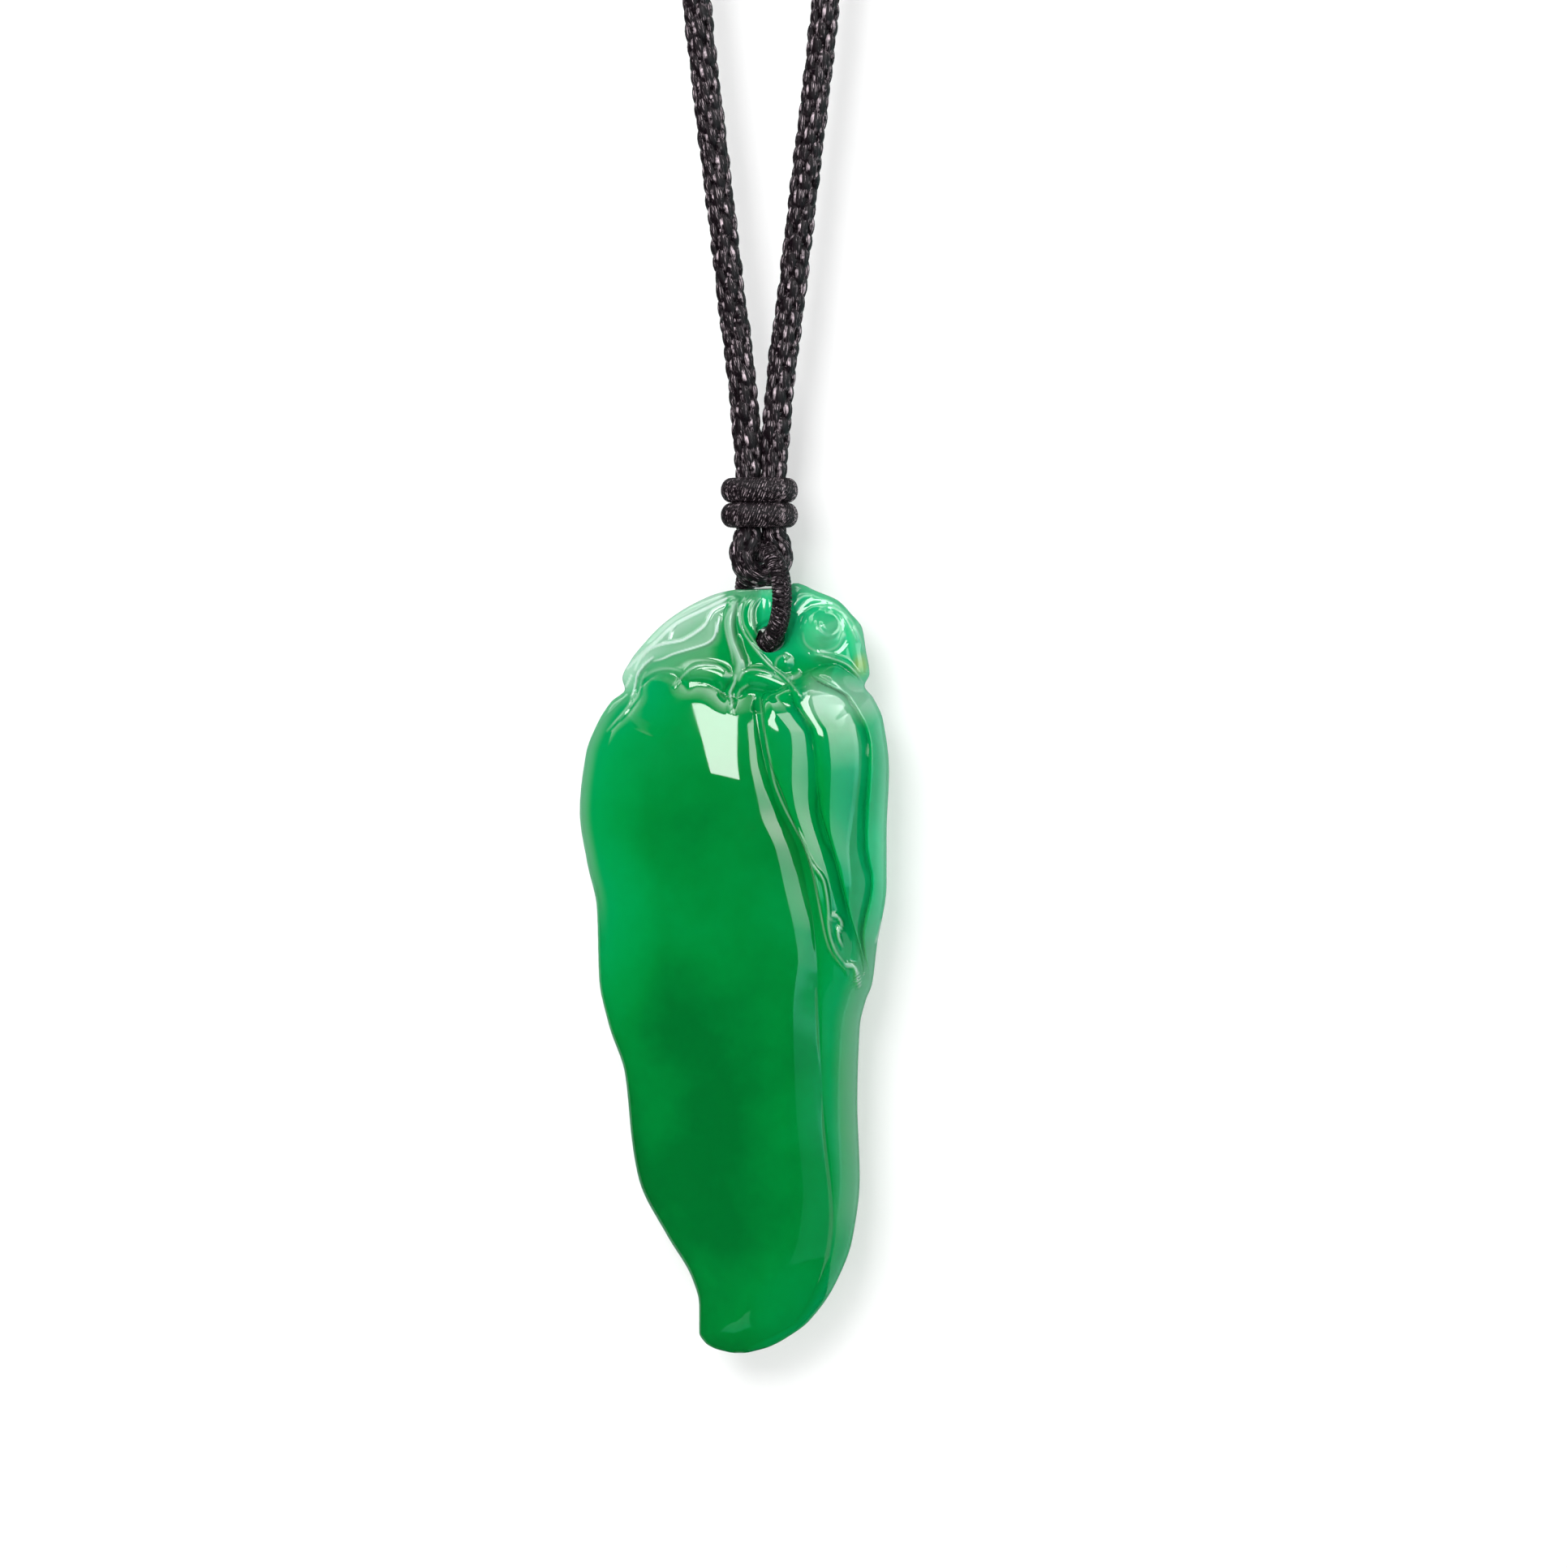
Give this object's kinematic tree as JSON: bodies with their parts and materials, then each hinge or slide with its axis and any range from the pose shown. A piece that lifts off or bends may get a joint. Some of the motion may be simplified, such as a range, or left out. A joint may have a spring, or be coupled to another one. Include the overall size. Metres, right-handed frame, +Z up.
{
  "type": "jade pendant necklace",
  "caption": "Carved green jade pendant shaped as a pod with leaf and buds, hung by a whipped ring from a doubled black braided cord that goes round the neck.",
  "frame": {"origin": "where the cord's binding rests on the nape", "axes": "+Z up, -Y to the front, +X to the right as seen from the front"},
  "size_m": [0.1272, 0.1261, 0.3129],
  "materials": {
    "jade": "polished",
    "braided_cord": "satin",
    "whipped_thread": "satin"
  },
  "bodies": {
    "necklace": {"neck_cord": "braided_cord", "nape_binding": "whipped_thread", "upper_wrap": "whipped_thread", "lower_wrap": "whipped_thread", "hanging_ring": "whipped_thread"},
    "pendant": {"jade_pendant": "jade"}
  },
  "joints": [
    {"name": "pendant_swing", "type": "hinge", "parent": "necklace", "child": "pendant", "pos_m": [0.00015, -0.118, -0.2497], "axis": [-0.4226, 0.9063, 0], "range_deg": [-8, 8]}
  ]
}
